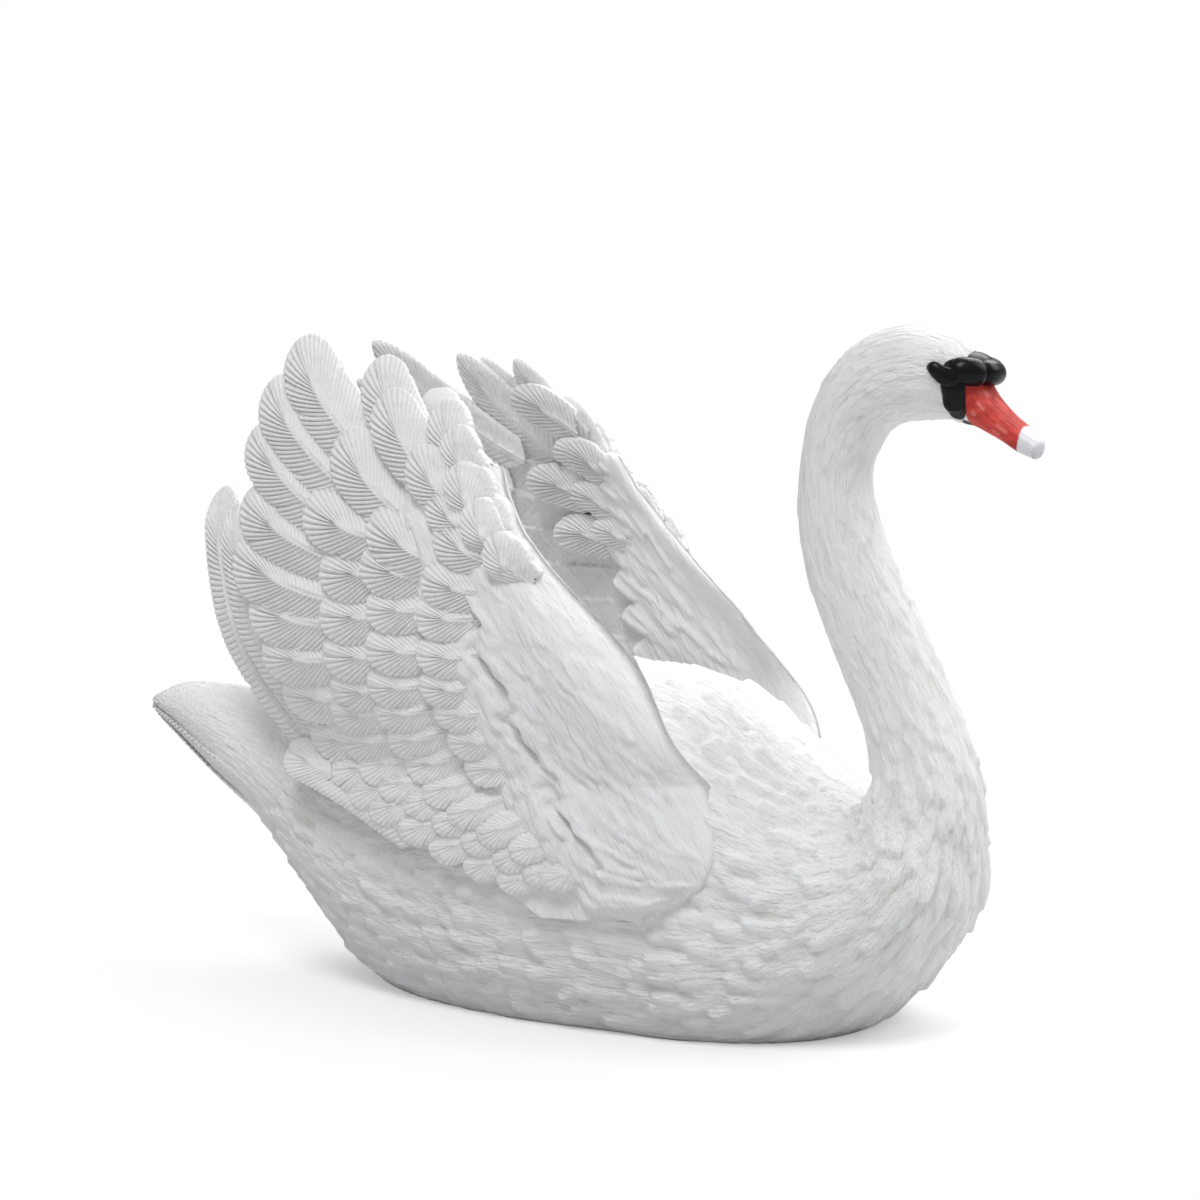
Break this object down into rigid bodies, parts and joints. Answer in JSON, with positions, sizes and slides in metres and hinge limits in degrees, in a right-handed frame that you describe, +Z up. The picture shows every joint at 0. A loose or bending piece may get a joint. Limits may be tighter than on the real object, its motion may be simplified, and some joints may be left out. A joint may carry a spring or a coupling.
{
  "type": "swan figurine",
  "caption": "Moulded swan figurine with an S-curved neck, raised wings of layered feathers and a flat underside that it stands on.",
  "frame": {"origin": "middle of the flat underside, on the surface the figurine stands on", "axes": "+X towards the bill, +Y to the swan's left, +Z up"},
  "size_m": [0.1062, 0.0454, 0.0719],
  "materials": {
    "body_plastic": "matte white with light shading in the grooves; the face mask is painted gloss black and the bill orange-red",
    "wing_right_plastic": "matte white with light shading in the grooves",
    "wing_left_plastic": "matte white with light shading in the grooves"
  },
  "bodies": {
    "root": {"body": "body_plastic", "wing_right": "wing_right_plastic", "wing_left": "wing_left_plastic"}
  },
  "joints": []
}
